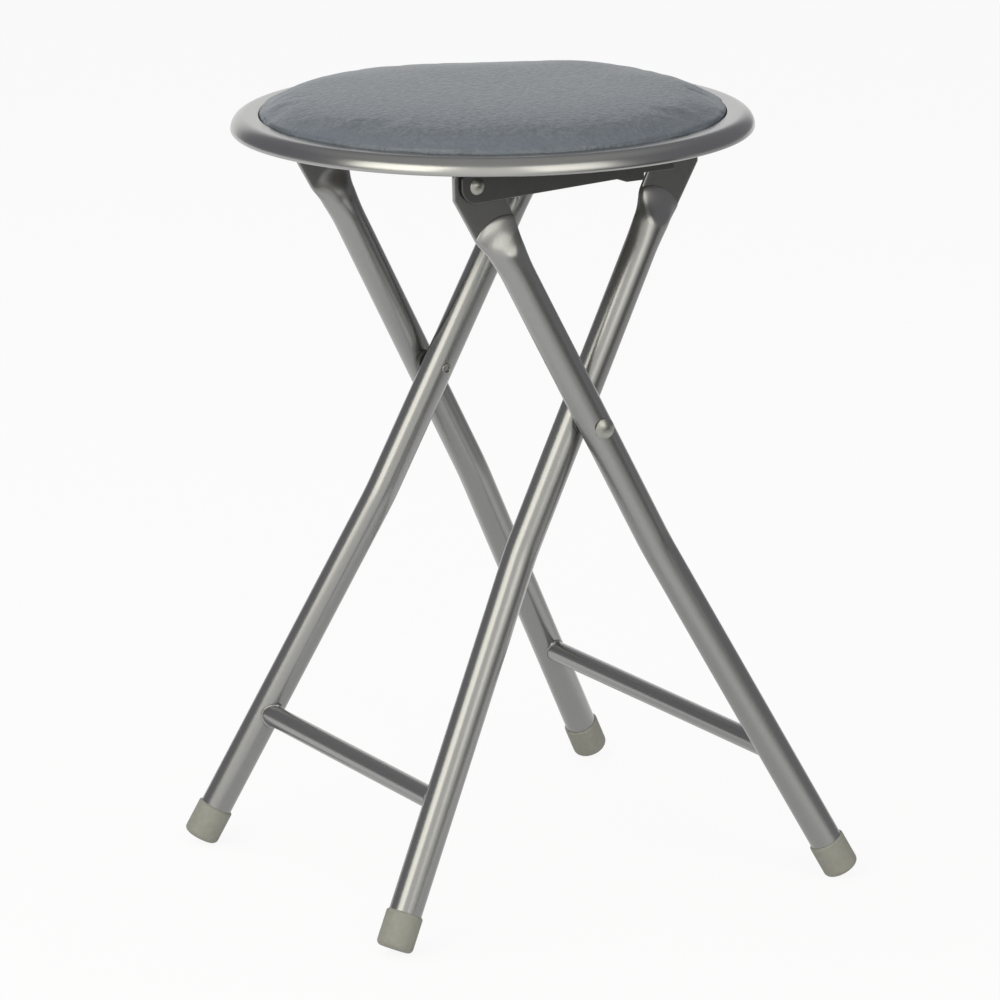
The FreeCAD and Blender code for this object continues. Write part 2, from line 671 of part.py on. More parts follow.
def catch_outline():
    """The catch's side view, measured from the cross rod."""
    grip, top = size("rod_d") / 2 + size("gap"), size("seat_lift")
    front, back, lip = -size("catch_in"), size("catch_out"), -size("catch_lip")
    tip = polar((0, 0), grip, lip)
    heel = polar((0, 0), back, lip)
    return [
        line((front, top), (front, grip)),
        line((front, grip), (0, grip)),
        arc((0, 0), grip, lip, 90),
        line(tip, heel),
        line(heel, (back, 0)),
        line((back, 0), (back, top)),
        line((back, top), (front, top)),
    ]


catch_screws = []
for side, sign, outward in SIDES:
    high = span(sign, "catch_half", "catch_t")[1]
    web = pad("catch_web_" + side, catch_outline(), "catch_t", PIVOT_X, high)
    low = span(sign, "catch_half - catch_flange", "catch_flange + catch_t / 2")[0]
    flange = make("Box", "catch_flange_" + side, Length="catch_in + catch_out",
                  Width="catch_flange + catch_t / 2", Height="catch_t / 2")
    put(flange, PIVOT_X + " - catch_in", low, SEAT_Z + " - catch_t / 2")
    holes = []
    for index, share in enumerate(CATCH_SCREW_SHARES):
        name = "catch_screw_%s_%d" % (side, index)
        spot = ("%s - catch_in + %g * (catch_in + catch_out)" % (PIVOT_X, share),
                "%d * (catch_half - catch_flange / 2)" % sign)
        catch_screws.append(at_screw(screw(name, "0", "catch_t / 2"), *spot))
        holes.append(at_screw(screw_hole(name), *spot))
        board_holes.append(at_screw(screw_hole(name + "_board"), *spot))
    keep(cut("catch_" + side, fuse("catch_sheet_" + side, web, flange), *holes), "rod_catch_" + side)

keep(group("all_rim_screws", rim_screws), "rim_screws")
keep(group("all_rail_screws", rail_screws), "rail_screws")
keep(group("all_catch_screws", catch_screws), "catch_screws")

# Board, foam and cover

BOARD_R = "seat_d / 2 - rim_w - cover_gap - 2 * cover_t"
disc = put(make("Cylinder", "board_disc", Radius=BOARD_R, Height="board_t"), SEAT_X, None, SEAT_Z)
keep(cut("board", disc, *board_holes), "seat_board")


def crown(inset):
    """The cushion's crown and rounded edge, drawn in by an inset: edge centre, crown centre and radii."""
    edge = size("cushion_edge")
    reach, rise = cover_r - edge, size("cushion_rise")
    large = (reach ** 2 + rise ** 2 - edge ** 2) / (2 * (rise - edge))
    side = size("cushion_side")
    edge_middle = (reach, side)
    crown_middle = (0, side + rise - large)
    angle = math.degrees(math.atan2(edge_middle[1] - crown_middle[1], reach))
    return edge_middle, edge - inset, crown_middle, large - inset, angle


def cover_edges():
    skin = size("cover_t")
    edge, small, middle, large, angle = crown(0)
    under = cover_r - size("cover_flap")
    inner = cover_r - skin
    return [
        line((cover_r, -skin), (cover_r, edge[1])),
        arc(edge, small, 0, angle),
        arc(middle, large, angle, 90),
        line((0, middle[1] + large), (0, middle[1] + large - skin)),
        arc(middle, large - skin, angle, 90),
        arc(edge, small - skin, 0, angle),
        line((inner, edge[1]), (inner, 0)),
        line((inner, 0), (under, 0)),
        line((under, 0), (under, -skin)),
        line((under, -skin), (cover_r, -skin)),
    ]


def foam_edges():
    edge, small, middle, large, angle = crown(size("cover_t") + size("play"))
    base = size("board_t")
    start = math.degrees(math.asin((base - edge[1]) / small))
    corner = polar(edge, small, start)
    return [
        line((0, base), corner),
        arc(edge, small, start, angle),
        arc(middle, large, angle, 90),
        line((0, middle[1] + large), (0, base)),
    ]


keep(turned_body("cover", cover_edges()), "seat_cover")
keep(turned_body("foam", foam_edges()), "seat_foam")

doc.recompute()
for obj in doc.Objects:
    if "Invalid" in obj.State or "Error" in obj.State:
        raise RuntimeError("%s failed: %s" % (obj.Name, obj.State))
for obj in SUB_PARTS:
    if obj.Shape.isNull() or not obj.Shape.isValid():
        raise RuntimeError("%s has no valid shape" % obj.Label)

os.makedirs("parts", exist_ok=True)
for obj in SUB_PARTS:
    obj.Shape.exportStep("parts/%s.step" % obj.Label)
    box = obj.Shape.BoundBox
    print("%-18s solids %d  volume %9.1f  x %.1f..%.1f  y %.1f..%.1f  z %.1f..%.1f" % (
        obj.Label, len(obj.Shape.Solids), obj.Shape.Volume,
        box.XMin, box.XMax, box.YMin, box.YMax, box.ZMin, box.ZMax))
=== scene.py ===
import math

import bpy
from mathutils import Matrix, Vector, noise


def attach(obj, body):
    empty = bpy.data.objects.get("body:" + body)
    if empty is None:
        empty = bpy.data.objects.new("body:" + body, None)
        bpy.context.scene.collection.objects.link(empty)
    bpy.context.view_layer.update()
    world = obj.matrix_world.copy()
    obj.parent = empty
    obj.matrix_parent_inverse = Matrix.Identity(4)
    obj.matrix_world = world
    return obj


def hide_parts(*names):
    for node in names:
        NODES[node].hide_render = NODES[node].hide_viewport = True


# A folding stool: silver-painted tube frames, a pressed round rim and a padded PVC seat.
# Lengths are in metres, and MM turns a size in millimetres into metres.

MM = 0.001

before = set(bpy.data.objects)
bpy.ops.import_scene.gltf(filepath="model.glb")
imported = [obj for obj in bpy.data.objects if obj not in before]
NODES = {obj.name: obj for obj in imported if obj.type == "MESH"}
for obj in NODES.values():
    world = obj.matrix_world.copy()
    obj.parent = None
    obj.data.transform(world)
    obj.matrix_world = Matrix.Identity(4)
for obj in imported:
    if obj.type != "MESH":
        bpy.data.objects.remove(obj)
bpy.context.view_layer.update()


# Sizes of the stool. Reaches and drops run along a leg from the crossing of the two frames

LEAN = math.radians(27.53)
CROSS_HEIGHT = 283.5 * MM
PIVOT_REACH = 163.7 * MM
BOARD_Z = CROSS_HEIGHT + PIVOT_REACH * math.cos(LEAN) + 14.8 * MM
BEND_DROP = 83.4 * MM
BAR_DROP = 230.4 * MM
FOOT_REACH = 315.28 * MM
OUTER_HALF = 101.915 * MM
LEG_SPACING = 22.2 * MM
OUTER_DRAW = math.radians(2.0)
INNER_DRAW = math.radians(2.65)
FOOT_SPLAY = math.radians(8.9)
TUBE_R = 9.5 * MM
BEND_RADIUS = 150 * MM
PLATE_HALF = 14.9 * MM
PLATE_T = 2.6 * MM
FLATTEN_LENGTH = 46 * MM
FLATTEN_START = 62 * MM
SHOULDER_R = 22 * MM
SHOULDER_DROP = 23.4 * MM
SHOULDER_DEPTH = 8.6 * MM
SHOULDER_FALL = 0.91
SHOULDER_CREASE = 5 * MM
SHOULDER_SINK = 0.12
SHOULDER_FLANK = 0.62
SHOULDER_END_POWER = 24
PLATE_EDGE_POWER = 8
PLATE_BASE = 13.8 * MM
PLATE_SIDE = 12.8 * MM
PLATE_TOP = 11 * MM
BAR_R = 6.35 * MM
CAP_R = 10.65 * MM
CAP_LENGTH = 21.5 * MM
CAP_FLOOR = 3.2 * MM
CAP_EDGE = 3 * MM
SEAT_R = 150 * MM
SEAT_X = -6.5 * MM
RIM_WIDTH = 16.5 * MM
RIM_INNER = SEAT_R - RIM_WIDTH
RIM_CREST = 6 * MM
RIM_EASE = 1.3 * MM
RIM_ROUND = 8.5 * MM
RIM_CURL = 1.6 * MM
RIM_TURN = math.radians(3)
RIM_HEM_TURN = math.radians(100)
SHEET = 1.2 * MM
LEDGE = 5 * MM
COVER_T = 1 * MM
COVER_R = 132 * MM
COVER_FLAP = 7 * MM
BOARD_TOP = 6 * MM
CUSHION_TOP = 19.15 * MM

# Broad dips and swells of the used pad: place and spread round the seat, and rise

SWELLS = ((math.radians(66), math.radians(22), -1.8 * MM), (math.radians(27), math.radians(15), 1.3 * MM),
          (math.radians(-8), math.radians(16), 1.1 * MM), (math.radians(125), math.radians(12), 0.7 * MM))

# How finely the round forms are divided, and how near two points are one

RING_POINTS = 64
STRAIGHT_STEPS = 4
BEND_STEPS = 10
SWELL_RINGS = 16
DOME_RINGS = 14
PLATE_RINGS = [0.015, 0.12, 0.25, 0.4, 0.6, 0.8]
TURN_STEPS = 160
FULL_TURN = 2 * math.pi
MERGE = 0.01 * MM


# Materials

def linear(code):
    """An sRGB hex colour as the linear RGBA that a shader takes."""
    def channel(value):
        return value / 12.92 if value <= 0.04045 else ((value + 0.055) / 1.055) ** 2.4

    return [channel(int(code[i:i + 2], 16) / 255) for i in (1, 3, 5)] + [1.0]


def add(tree, kind, links=None, **settings):
    """A node with its settings, and its inputs set to values or linked to sockets."""
    node = tree.nodes.new(kind)
    for name, value in settings.items():
        setattr(node, name, value)
    for name, value in (links or {}).items():
        if isinstance(value, bpy.types.NodeSocket):
            tree.links.new(value, node.inputs[name])
        else:
            node.inputs[name].default_value = value
    return node


def new_material(name, **shader):
    """A material with one Principled shader, and its node tree."""
    material = bpy.data.materials.new(name)
    material.use_nodes = True
    tree = material.node_tree
    principled = tree.nodes["Principled BSDF"]
    for socket, value in shader.items():
        principled.inputs[socket.replace("_", " ")].default_value = value
    return material, tree, principled


def silver_paint():
    """Steel with a silver paint: flakes in a clear film, even, satin and slightly rippled.

    The flakes are drawn much coarser than real ones, so that they show.
    """
    material, tree, shader = new_material(
        "silver_metallic_paint", Metallic=0.9, Roughness=0.26, Coat_Weight=0.2, Coat_Roughness=0.12)
    where = add(tree, "ShaderNodeTexCoord").outputs["Object"]
    flake = add(tree, "ShaderNodeTexNoise", {"Vector": where, "Scale": 1 / (0.9 * MM), "Detail": 3.0})
    shade = add(tree, "ShaderNodeValToRGB", {"Fac": flake.outputs["Fac"]})
    shade.color_ramp.elements[0].position, shade.color_ramp.elements[0].color = 0.35, linear("#8E8E8D")
    shade.color_ramp.elements[1].position, shade.color_ramp.elements[1].color = 0.65, linear("#949492")
    tree.links.new(shade.outputs["Color"], shader.inputs["Base Color"])
    ripple = add(tree, "ShaderNodeTexNoise", {"Vector": where, "Scale": 1 / (2.5 * MM), "Detail": 2.0})
    bump = add(tree, "ShaderNodeBump",
               {"Height": ripple.outputs["Fac"], "Strength": 0.03, "Distance": 0.1 * MM})
    tree.links.new(bump.outputs["Normal"], shader.inputs["Normal"])
    return material


def satin_chrome():
    """The rim's chromed steel sheet: brighter and smoother than the painted tubes, with a soft bloom."""
    material, tree, shader = new_material("satin_chromed_steel", Metallic=1.0, Roughness=0.24)
    where = add(tree, "ShaderNodeTexCoord").outputs["Object"]
    bloom = add(tree, "ShaderNodeTexNoise", {"Vector": where, "Scale": 1 / (14 * MM), "Detail": 3.0})
    shade = add(tree, "ShaderNodeValToRGB", {"Fac": bloom.outputs["Fac"]})
    shade.color_ramp.elements[0].color = linear("#9E9E9C")
    shade.color_ramp.elements[1].color = linear("#A4A4A2")
    tree.links.new(shade.outputs["Color"], shader.inputs["Base Color"])
    return material


def rail_steel():
    """The rails and catches: steel sheet in a dull grey, darker than the tubes, as painted shade for the dark
    under the seat.
    """
    material, tree, shader = new_material("rail_steel_painted_shade", Metallic=0.9, Roughness=0.34)
    where = add(tree, "ShaderNodeTexCoord").outputs["Object"]
    cloud = add(tree, "ShaderNodeTexNoise", {"Vector": where, "Scale": 1 / (6 * MM), "Detail": 3.0})
    shade = add(tree, "ShaderNodeValToRGB", {"Fac": cloud.outputs["Fac"]})
    # Painted shade: these greys are darker than the tubes' paint, and stand for the dark under the seat.
    shade.color_ramp.elements[0].color = linear("#60605F")
    shade.color_ramp.elements[1].color = linear("#6A6A69")
    tree.links.new(shade.outputs["Color"], shader.inputs["Base Color"])
    return material


def zinc_plate():
    """Zinc-plated rivets and screws: a paler bare metal with a soft, faintly mottled sheen."""
    material, tree, shader = new_material("zinc_plated_steel", Metallic=1.0, Roughness=0.3)
    where = add(tree, "ShaderNodeTexCoord").outputs["Object"]
    mottle = add(tree, "ShaderNodeTexNoise", {"Vector": where, "Scale": 1 / (1.5 * MM), "Detail": 2.0})
    shade = add(tree, "ShaderNodeValToRGB", {"Fac": mottle.outputs["Fac"]})
    shade.color_ramp.elements[0].color = linear("#8E8E88")
    shade.color_ramp.elements[1].color = linear("#A9A9A2")
    tree.links.new(shade.outputs["Color"], shader.inputs["Base Color"])
    return material


def cap_rubber():
    """Moulded grey rubber: matt, a little chalky."""
    material, tree, shader = new_material("moulded_grey_rubber", Roughness=0.62)
    where = add(tree, "ShaderNodeTexCoord").outputs["Object"]
    chalk = add(tree, "ShaderNodeTexNoise", {"Vector": where, "Scale": 1 / (3 * MM), "Detail": 4.0})
    shade = add(tree, "ShaderNodeValToRGB", {"Fac": chalk.outputs["Fac"]})
    shade.color_ramp.elements[0].color = linear("#85857B")
    shade.color_ramp.elements[1].color = linear("#97978F")
    tree.links.new(shade.outputs["Color"], shader.inputs["Base Color"])
    return material


def pvc_leatherette():
    """Blue-grey PVC leatherette: a pebble grain that catches a grey sheen, and a mottle that is strongest on
    the flat top as painted sheen.

    Grain and fleck are drawn coarser than the real ones, so that they show.
    """
    material, tree, shader = new_material("pvc_leatherette", Roughness=0.36)
    where = add(tree, "ShaderNodeTexCoord").outputs["Object"]
    fleck = add(tree, "ShaderNodeTexNoise",
                {"Vector": where, "Scale": 1 / (3 * MM), "Detail": 5.0, "Roughness": 0.7})
    shade = add(tree, "ShaderNodeValToRGB", {"Fac": fleck.outputs["Fac"]})
    shade.color_ramp.elements[0].position, shade.color_ramp.elements[0].color = 0.36, linear("#565D65")
    shade.color_ramp.elements[1].position, shade.color_ramp.elements[1].color = 0.64, linear("#757B80")
    height = add(tree, "ShaderNodeSeparateXYZ", {0: where}).outputs["Z"]
    # Painted sheen: the fleck shows fully only on the flat top, where the grain catches the light, and
    # faintly below it.
    sheen_mottle_mask = add(tree, "ShaderNodeMapRange", {"Value": height, "From Min": BOARD_Z + 11 * MM,
                                            "From Max": BOARD_Z + 16 * MM, "To Min": 0.3, "To Max": 1.0})
    colour = add(tree, "ShaderNodeMix",
                 {0: sheen_mottle_mask.outputs["Result"], 6: linear("#656C74"), 7: shade.outputs["Color"]},
                 data_type="RGBA").outputs[2]
    tree.links.new(colour, shader.inputs["Base Color"])
    grain = add(tree, "ShaderNodeTexNoise", {"Vector": where, "Scale": 1 / (2.6 * MM), "Detail": 2.0})
    bump = add(tree, "ShaderNodeBump",
               {"Height": grain.outputs["Fac"], "Strength": 0.9, "Distance": 0.8 * MM})
    tree.links.new(bump.outputs["Normal"], shader.inputs["Normal"])
    return material


def plywood():
    """Plywood in a dark grey-brown: a dull veneer with straight grain."""
    material, tree, shader = new_material("plywood_veneer", Roughness=0.7)
    where = add(tree, "ShaderNodeTexCoord").outputs["Object"]
    along = add(tree, "ShaderNodeMapping", {"Vector": where, "Scale": (0.06, 1.0, 1.0)})
    grain = add(tree, "ShaderNodeTexNoise",
                {"Vector": along.outputs["Vector"], "Scale": 1 / (3 * MM), "Detail": 5.0})
    shade = add(tree, "ShaderNodeValToRGB", {"Fac": grain.outputs["Fac"]})
    shade.color_ramp.elements[0].color = linear("#57534C")
    shade.color_ramp.elements[1].color = linear("#6B665D")
    tree.links.new(shade.outputs["Color"], shader.inputs["Base Color"])
    return material


def dark_nylon():
    """Moulded dark nylon: smooth and slightly waxy."""
    material, tree, shader = new_material("dark_nylon", Roughness=0.45)
    shader.inputs["Base Color"].default_value = linear("#3A3A38")
    return material


SILVER, CHROME, ZINC, RUBBER = silver_paint(), satin_chrome(), zinc_plate(), cap_rubber()
# The rails and catches take a darker grey that is painted shade.
SHADED_RAIL = rail_steel()
PVC, PLYWOOD, NYLON = pvc_leatherette(), plywood(), dark_nylon()


def dress(node, material):
    node.data.materials.clear()
    node.data.materials.append(material)


FINISHES = (
    (("leg_near", "leg_far", "crossbar", "rim"), SILVER),
    (("rail_near", "rail_far", "catch_near", "catch_far"), SHADED_RAIL),
    (("rivet_near", "rivet_far", "screws", "rod"), ZINC),
    (("foot_near", "foot_far"), RUBBER),
    (("washer_near", "washer_far", "spacer_near", "spacer_far"), NYLON),
    (("board",), PLYWOOD),
    (("cover", "foam"), PVC),
)
for name, cad_node in NODES.items():
    for endings, material in FINISHES:
        if name.endswith(endings):
            dress(cad_node, material)


# Modelling moves that several pieces share

def start(name, add_primitive, **settings):
    """A new primitive, alone selected and in edit mode."""
    bpy.ops.object.select_all(action="DESELECT")
    add_primitive(**settings)
    piece = bpy.context.object
    piece.name = name
    piece.data.name = name
    bpy.ops.object.mode_set(mode="EDIT")
    return piece


def drawn(name, points, closed=True):
    """A line through these points as a mesh of edges, in edit mode."""
    mesh = bpy.data.meshes.new(name)
    count = len(points)
    edges = [(index, (index + 1) % count) for index in range(count if closed else count - 1)]
    mesh.from_pydata(points, edges, [])
    piece = bpy.data.objects.new(name, mesh)
    bpy.context.scene.collection.objects.link(piece)
    bpy.ops.object.select_all(action="DESELECT")
    bpy.context.view_layer.objects.active = piece
    piece.select_set(True)
    bpy.ops.object.mode_set(mode="EDIT")
    bpy.ops.mesh.select_all(action="SELECT")
    return piece


def extrude(move):
    bpy.ops.mesh.extrude_region_move(TRANSFORM_OT_translate={"value": move})


def closed_up():
    """In edit mode: doubles merged and normals outwards."""
    bpy.ops.mesh.select_all(action="SELECT")
    bpy.ops.mesh.remove_doubles(threshold=MERGE)
    bpy.ops.mesh.normals_make_consistent(inside=False)


def finished(piece, body, material, replaced=(), place=None, smooth=40):
    """Placed, closed up, smooth up to this angle in degrees, out of edit mode and riding on its body."""
    bpy.ops.object.mode_set(mode="OBJECT")
    bpy.ops.object.transform_apply(location=True, rotation=True, scale=True)
    if place:
        piece.data.transform(place)
    bpy.ops.object.mode_set(mode="EDIT")
    closed_up()
    bpy.ops.object.mode_set(mode="OBJECT")
    bpy.ops.object.shade_smooth_by_angle(angle=math.radians(smooth))
    dress(piece, material)
    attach(piece, body)
    if replaced:
        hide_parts(*replaced)
    return piece


# Legs: a tube bent once and pressed flat at the top, with a domed shoulder where the round ends

def ease(share):
    share = min(max(share, 0), 1)
    return share * share * (3 - 2 * share)


def lerp(a, b, share):
    return a + (b - a) * share


def walk(points, share):
    """The point at this share of the way along a line of points."""
    runs = [math.dist(a, b) for a, b in zip(points, points[1:])]
    left = share * sum(runs)
    for a, b, run in zip(points, points[1:], runs):
        if left <= run or b is points[-1]:
            return tuple(lerp(p, q, min(left / run, 1)) for p, q in zip(a, b))
        left -= run


def corner_shares(points):
    """How far along a line of points each of its corners is."""
    runs = [math.dist(a, b) for a, b in zip(points, points[1:])]
    return [sum(runs[:index]) / sum(runs) for index in range(1, len(runs))]


def plate_sides(out, base):
    """The two sides of the flat top, from the shoulder up, as places across and along the leg."""
    cos, sin = math.cos(LEAN), math.sin(LEAN)

    def turned(sideways, upward):
        return (out * (sideways * cos - upward * sin), PIVOT_REACH + upward * cos + sideways * sin)

    corner = (PLATE_SIDE - PLATE_HALF * cos) / sin
    front = [(out * PLATE_BASE, base), (out * PLATE_HALF, PIVOT_REACH + corner),
             turned(PLATE_SIDE, PLATE_TOP * 0.5), turned(PLATE_SIDE - PLATE_TOP * 0.5, PLATE_TOP)]
    back = [(-out * PLATE_BASE, base), (-out * PLATE_HALF, PIVOT_REACH),
            turned(-PLATE_SIDE * 0.8, PLATE_TOP)]
    return (back, front) if out > 0 else (front, back)


def pressed(across, deep, ring, low, sides):
    """Where a point of the round tube goes when its top is pressed flat.

    across and deep are the cosine and sine of its place round the tube, deep positive outwards. ring
    runs from 0 to 1 over the swelling, from 1 to 2 over the dome and from 2 to 3 over the plate.
    """
    begin = PIVOT_REACH - FLATTEN_START
    rounded = (1 - abs(across) ** PLATE_EDGE_POWER) ** (1 / PLATE_EDGE_POWER)
    thick = PLATE_T / 2 * rounded
    if ring <= 2:
        height = lerp(begin, low, ring) if ring <= 1 else low
        flat = ease((height - begin) / FLATTEN_LENGTH)
        side = lerp(TUBE_R, PLATE_BASE, flat)
        if ring > 1:
            side = lerp(side, PLATE_BASE, ease(ring - 1))
            flat = lerp(flat, 1, ease(ring - 1))
        place = side * across
        arch = math.sqrt(SHOULDER_R ** 2 - place ** 2)
        outer = TUBE_R * (1 - SHOULDER_SINK * flat) * abs(deep)
        if ring > 1:
            share = ring - 1
            height = low + share * arch
            left = (1 - SHOULDER_FALL * share) * math.sqrt(max(0, 1 - share ** SHOULDER_END_POWER))
            flank = lerp(SHOULDER_FLANK, 1, abs(deep))
            bulge = thick + SHOULDER_DEPTH * left * arch / SHOULDER_R * flank
            # The factor 16 brings the ramp to 1 halfway over the dome
            crease = SHOULDER_CREASE * 16 * (share * (1 - share)) ** 2 * abs(deep)
            outer = max((outer + bulge - math.hypot(outer - bulge, crease)) / 2, thick)
        inner = lerp(TUBE_R * abs(deep), thick, flat)
        return place, outer if deep > 0 else -inner, height
    share = ring - 2
    left, right = (walk(side, share) for side in sides)
    place = lerp(left[0], right[0], (1 + across) / 2)
    edge = math.sqrt(SHOULDER_R ** 2 - PLATE_BASE ** 2)
    spread = min(abs(place), PLATE_BASE)
    arch = math.sqrt(SHOULDER_R ** 2 - spread ** 2) - edge
    height = lerp(left[1], right[1], (1 + across) / 2) + (1 - share) * arch
    return place, thick if deep > 0 else -thick, height


def leg(name, half, draw, out, body, sign):
    """One leg, drawn up as a round tube on the near side, pressed, leaned and mirrored for the far side."""
    below = Vector((0, math.sin(FOOT_SPLAY), math.cos(FOOT_SPLAY)))
    above = Vector((0, math.sin(draw), math.cos(draw)))
    bend = Vector((0, -half, -BEND_DROP))
    back = BEND_RADIUS * math.tan((FOOT_SPLAY - draw) / 2)
    end = bend - below * ((FOOT_REACH - BEND_DROP) / math.cos(FOOT_SPLAY) - CAP_FLOOR)
    tube = start(name + "_tube", bpy.ops.mesh.primitive_circle_add, vertices=RING_POINTS, radius=TUBE_R,
                 location=end, rotation=(-FOOT_SPLAY, 0, 0))
    bpy.ops.object.mode_set(mode="OBJECT")
    bpy.ops.object.transform_apply(location=True, rotation=True, scale=True)
    bpy.ops.object.mode_set(mode="EDIT")
    for step in range(STRAIGHT_STEPS):
        extrude((bend - below * back - end) / STRAIGHT_STEPS)
    centre = bend - below * back + Vector((0, -math.cos(FOOT_SPLAY), math.sin(FOOT_SPLAY))) * BEND_RADIUS
    bpy.ops.mesh.spin(steps=BEND_STEPS, angle=draw - FOOT_SPLAY, center=centre, axis=(1, 0, 0))
    begin = PIVOT_REACH - FLATTEN_START
    for step in range(STRAIGHT_STEPS):
        extrude(above * ((begin + BEND_DROP) / math.cos(draw) - back) / STRAIGHT_STEPS)
    low = PIVOT_REACH - SHOULDER_DROP - SHOULDER_R
    sides = plate_sides(out, low + math.sqrt(SHOULDER_R ** 2 - PLATE_BASE ** 2))
    rings = [step / SWELL_RINGS for step in range(1, SWELL_RINGS + 1)]
    rings += [1 + math.sin(math.pi / 2 * step / DOME_RINGS) for step in range(1, DOME_RINGS + 1)]
    corners = corner_shares(sides[0]) + corner_shares(sides[1])
    rings += sorted({2 + share for share in PLATE_RINGS + corners})
    bpy.ops.object.mode_set(mode="OBJECT")
    count = len(tube.data.vertices)
    bpy.ops.object.mode_set(mode="EDIT")
    for ring in rings:
        extrude(Vector((0, 0, MM)))
    bpy.ops.mesh.select_non_manifold()
    bpy.ops.mesh.edge_face_add()
    bpy.ops.object.mode_set(mode="OBJECT")

    def middle(level):
        return -(half - (level + BEND_DROP) * math.tan(draw))

    for index, vertex in enumerate(tube.data.vertices[count:]):
        ring = rings[index // RING_POINTS]
        across = min(max(vertex.co.x / TUBE_R, -1), 1)
        deep = (middle(begin) - vertex.co.y) / TUBE_R
        place, outward, level = pressed(across, deep, ring, low, sides)
        share = ease(ring - 1)
        vertex.co = (place, lerp(middle(min(level, low)), middle(PIVOT_REACH), share) - outward, level)
    bpy.ops.object.mode_set(mode="EDIT")
    return finished(tube, body, SILVER, [name], placed(out, sign))


FRAMES = (("outer", OUTER_HALF, OUTER_DRAW, -1), ("inner", OUTER_HALF - LEG_SPACING, INNER_DRAW, 1))
SIDES = (("near", -1), ("far", 1))


def placed(frame_out, sign):
    """From a leg's own frame on the near side to the stool's, for the near or the far side."""
    lean = Matrix.Translation((0, 0, CROSS_HEIGHT)) @ Matrix.Rotation(frame_out * LEAN, 4, "Y")
    return lean @ Matrix.Scale(-sign, 4, (0, 1, 0))


# Round pieces, turned from a profile of radii and heights about their own Z

def lathe(name, profile, steps=64):
    """A piece turned from its profile, which closes on itself or on the axis."""
    piece = drawn(name, [(radius, 0, height) for radius, height in profile], closed=profile[0][0] > 0)
    bpy.ops.mesh.spin(steps=steps, angle=FULL_TURN, center=(0, 0, 0), axis=(0, 0, 1))
    return piece


def round_corner(centre, radius, first, last, count=6):
    """Points of an arc, by angles in degrees."""
    angles = [math.radians(lerp(first, last, step / count)) for step in range(count + 1)]
    return [(centre[0] + radius * math.cos(a), centre[1] + radius * math.sin(a)) for a in angles]


def foot_cap(name, half, out, body, sign):
    """A rubber cap: a rounded sole, a straight wall and a chamfered lip; flat where it stands, as wear leaves
    it.
    """
    lip = 1.1 * MM
    lip_top, bore, flush = CAP_LENGTH - lip * 0.2, TUBE_R + 0.05 * MM, 0.001 * MM
    profile = [(0, 0), (CAP_R * 0.4, 0)]
    profile += round_corner((CAP_R - CAP_EDGE, CAP_EDGE), CAP_EDGE, -90, 0)
    profile += [(CAP_R, CAP_LENGTH - lip * 1.6)]
    profile += round_corner((CAP_R - lip * 0.5, CAP_LENGTH - lip * 1.2), lip * 0.5, 0, 50, 3)
    profile += [(TUBE_R + lip * 0.25, lip_top), (bore, lip_top), (bore, CAP_FLOOR), (0, CAP_FLOOR)]
    cap = lathe(name + "_cap", profile)
    closed_up()
    bpy.ops.object.mode_set(mode="OBJECT")
    foot = Vector((0, -half - (FOOT_REACH - BEND_DROP) * math.tan(FOOT_SPLAY), -FOOT_REACH))
    cap.data.transform(placed(out, sign) @ Matrix.Translation(foot) @ Matrix.Rotation(-FOOT_SPLAY, 4, "X"))
    bpy.ops.object.mode_set(mode="EDIT")
    bpy.ops.mesh.select_all(action="SELECT")
    bpy.ops.mesh.bisect(plane_co=(0, 0, 0), plane_no=(0, 0, 1), clear_inner=True, use_fill=True,
                        threshold=flush)
    return finished(cap, body, RUBBER, [name])


def dome(radius, height, count=8):
    """Points of a domed head, from its edge on the level to its top."""
    ball = (radius ** 2 + height ** 2) / (2 * height)
    first = math.degrees(math.asin(1 - height / ball))
    return round_corner((0, height - ball), ball, first, 90, count)


def leg_rivet(side, sign):
    """The crossing rivet: a domed head outside and a rolled, hollow end inside."""
    outer = OUTER_HALF - BEND_DROP * math.tan(OUTER_DRAW) + TUBE_R
    inner = OUTER_HALF - LEG_SPACING - BEND_DROP * math.tan(INNER_DRAW) - TUBE_R
    bore, shank, rise = 1.9 * MM, 2.9 * MM, 0.6 * MM
    head, crown, hollow = 6 * MM, 2.2 * MM, 5 * MM
    profile = [(0, inner + hollow), (bore, inner + hollow), (bore, inner - rise)]
    profile += round_corner((bore + rise, inner - rise), rise, 180, 360)
    profile += [(shank, inner), (shank, outer), (head, outer)]
    profile += [(radius, outer + rise + height) for radius, height in dome(head, crown)]
    rivet = lathe("leg_rivet_%s_turned" % side, profile)
    place = Matrix.Translation((0, 0, CROSS_HEIGHT)) @ Matrix.Rotation(-sign * math.pi / 2, 4, "X")
    return finished(rivet, "inner_frame", ZINC, ["leg_rivet_" + side], place)


def seat_rivet(side, sign):
    """The rivet that the seat turns on: a domed head over a thin flange, and a flat head inside."""
    plate = OUTER_HALF - (PIVOT_REACH + BEND_DROP) * math.tan(OUTER_DRAW)
    clearance, stack, tail = 0.3 * MM, 3.5 * MM, 1.4 * MM
    inner, outer = plate - PLATE_T / 2 - clearance, plate + PLATE_T / 2 + stack
    head, flange, shank, crown = 4.6 * MM, 0.2 * MM, 2.5 * MM, 1.5 * MM
    profile = [(0, inner - tail), (head * 0.85, inner - tail), (head, inner - MM), (head, inner),
               (shank, inner), (shank, outer), (head, outer)]
    profile += [(radius, outer + flange + height) for radius, height in dome(head * 0.94, crown)]
    rivet = lathe("seat_rivet_%s_turned" % side, profile)
    pivot = (-PIVOT_REACH * math.sin(LEAN), 0, CROSS_HEIGHT + PIVOT_REACH * math.cos(LEAN))
    place = Matrix.Translation(pivot) @ Matrix.Rotation(-sign * math.pi / 2, 4, "X")
    return finished(rivet, "outer_frame", ZINC, ["seat_rivet_" + side], place)


